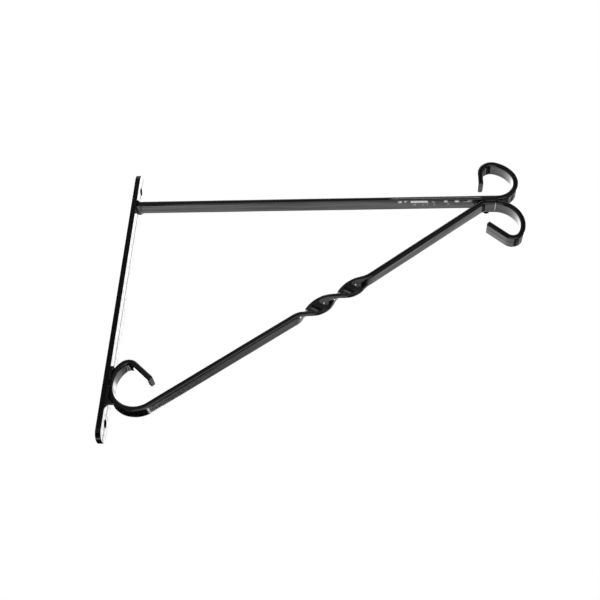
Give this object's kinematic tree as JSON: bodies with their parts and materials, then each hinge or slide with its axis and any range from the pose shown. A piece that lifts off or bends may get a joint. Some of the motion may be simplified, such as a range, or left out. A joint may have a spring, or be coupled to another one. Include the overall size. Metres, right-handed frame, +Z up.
{
  "type": "hanging basket wall bracket",
  "caption": "Wall bracket of painted flat bar: upright screw plate, level arm with a rolled hook at its tip, and a twisted slanted brace with scroll ends.",
  "frame": {"origin": "centre of the wall plate's back face, which lies flat on the wall", "axes": "+X out from the wall along the level arm, +Y across the bars' width, +Z up"},
  "size_m": [0.35, 0.018, 0.2711],
  "materials": {
    "plate_paint": "gloss",
    "arm_paint": "gloss",
    "brace_paint": "gloss",
    "weld_paint": "semi-gloss, lumpy"
  },
  "bodies": {
    "root": {"wall_plate": "plate_paint", "top_arm": "arm_paint", "brace": "brace_paint", "weld_arm_under": "weld_paint", "weld_arm_top": "weld_paint", "weld_scroll_upper": "weld_paint", "weld_scroll_lower": "weld_paint", "weld_tip_inner": "weld_paint", "weld_tip_near": "weld_paint", "weld_tip_far": "weld_paint"}
  },
  "joints": []
}
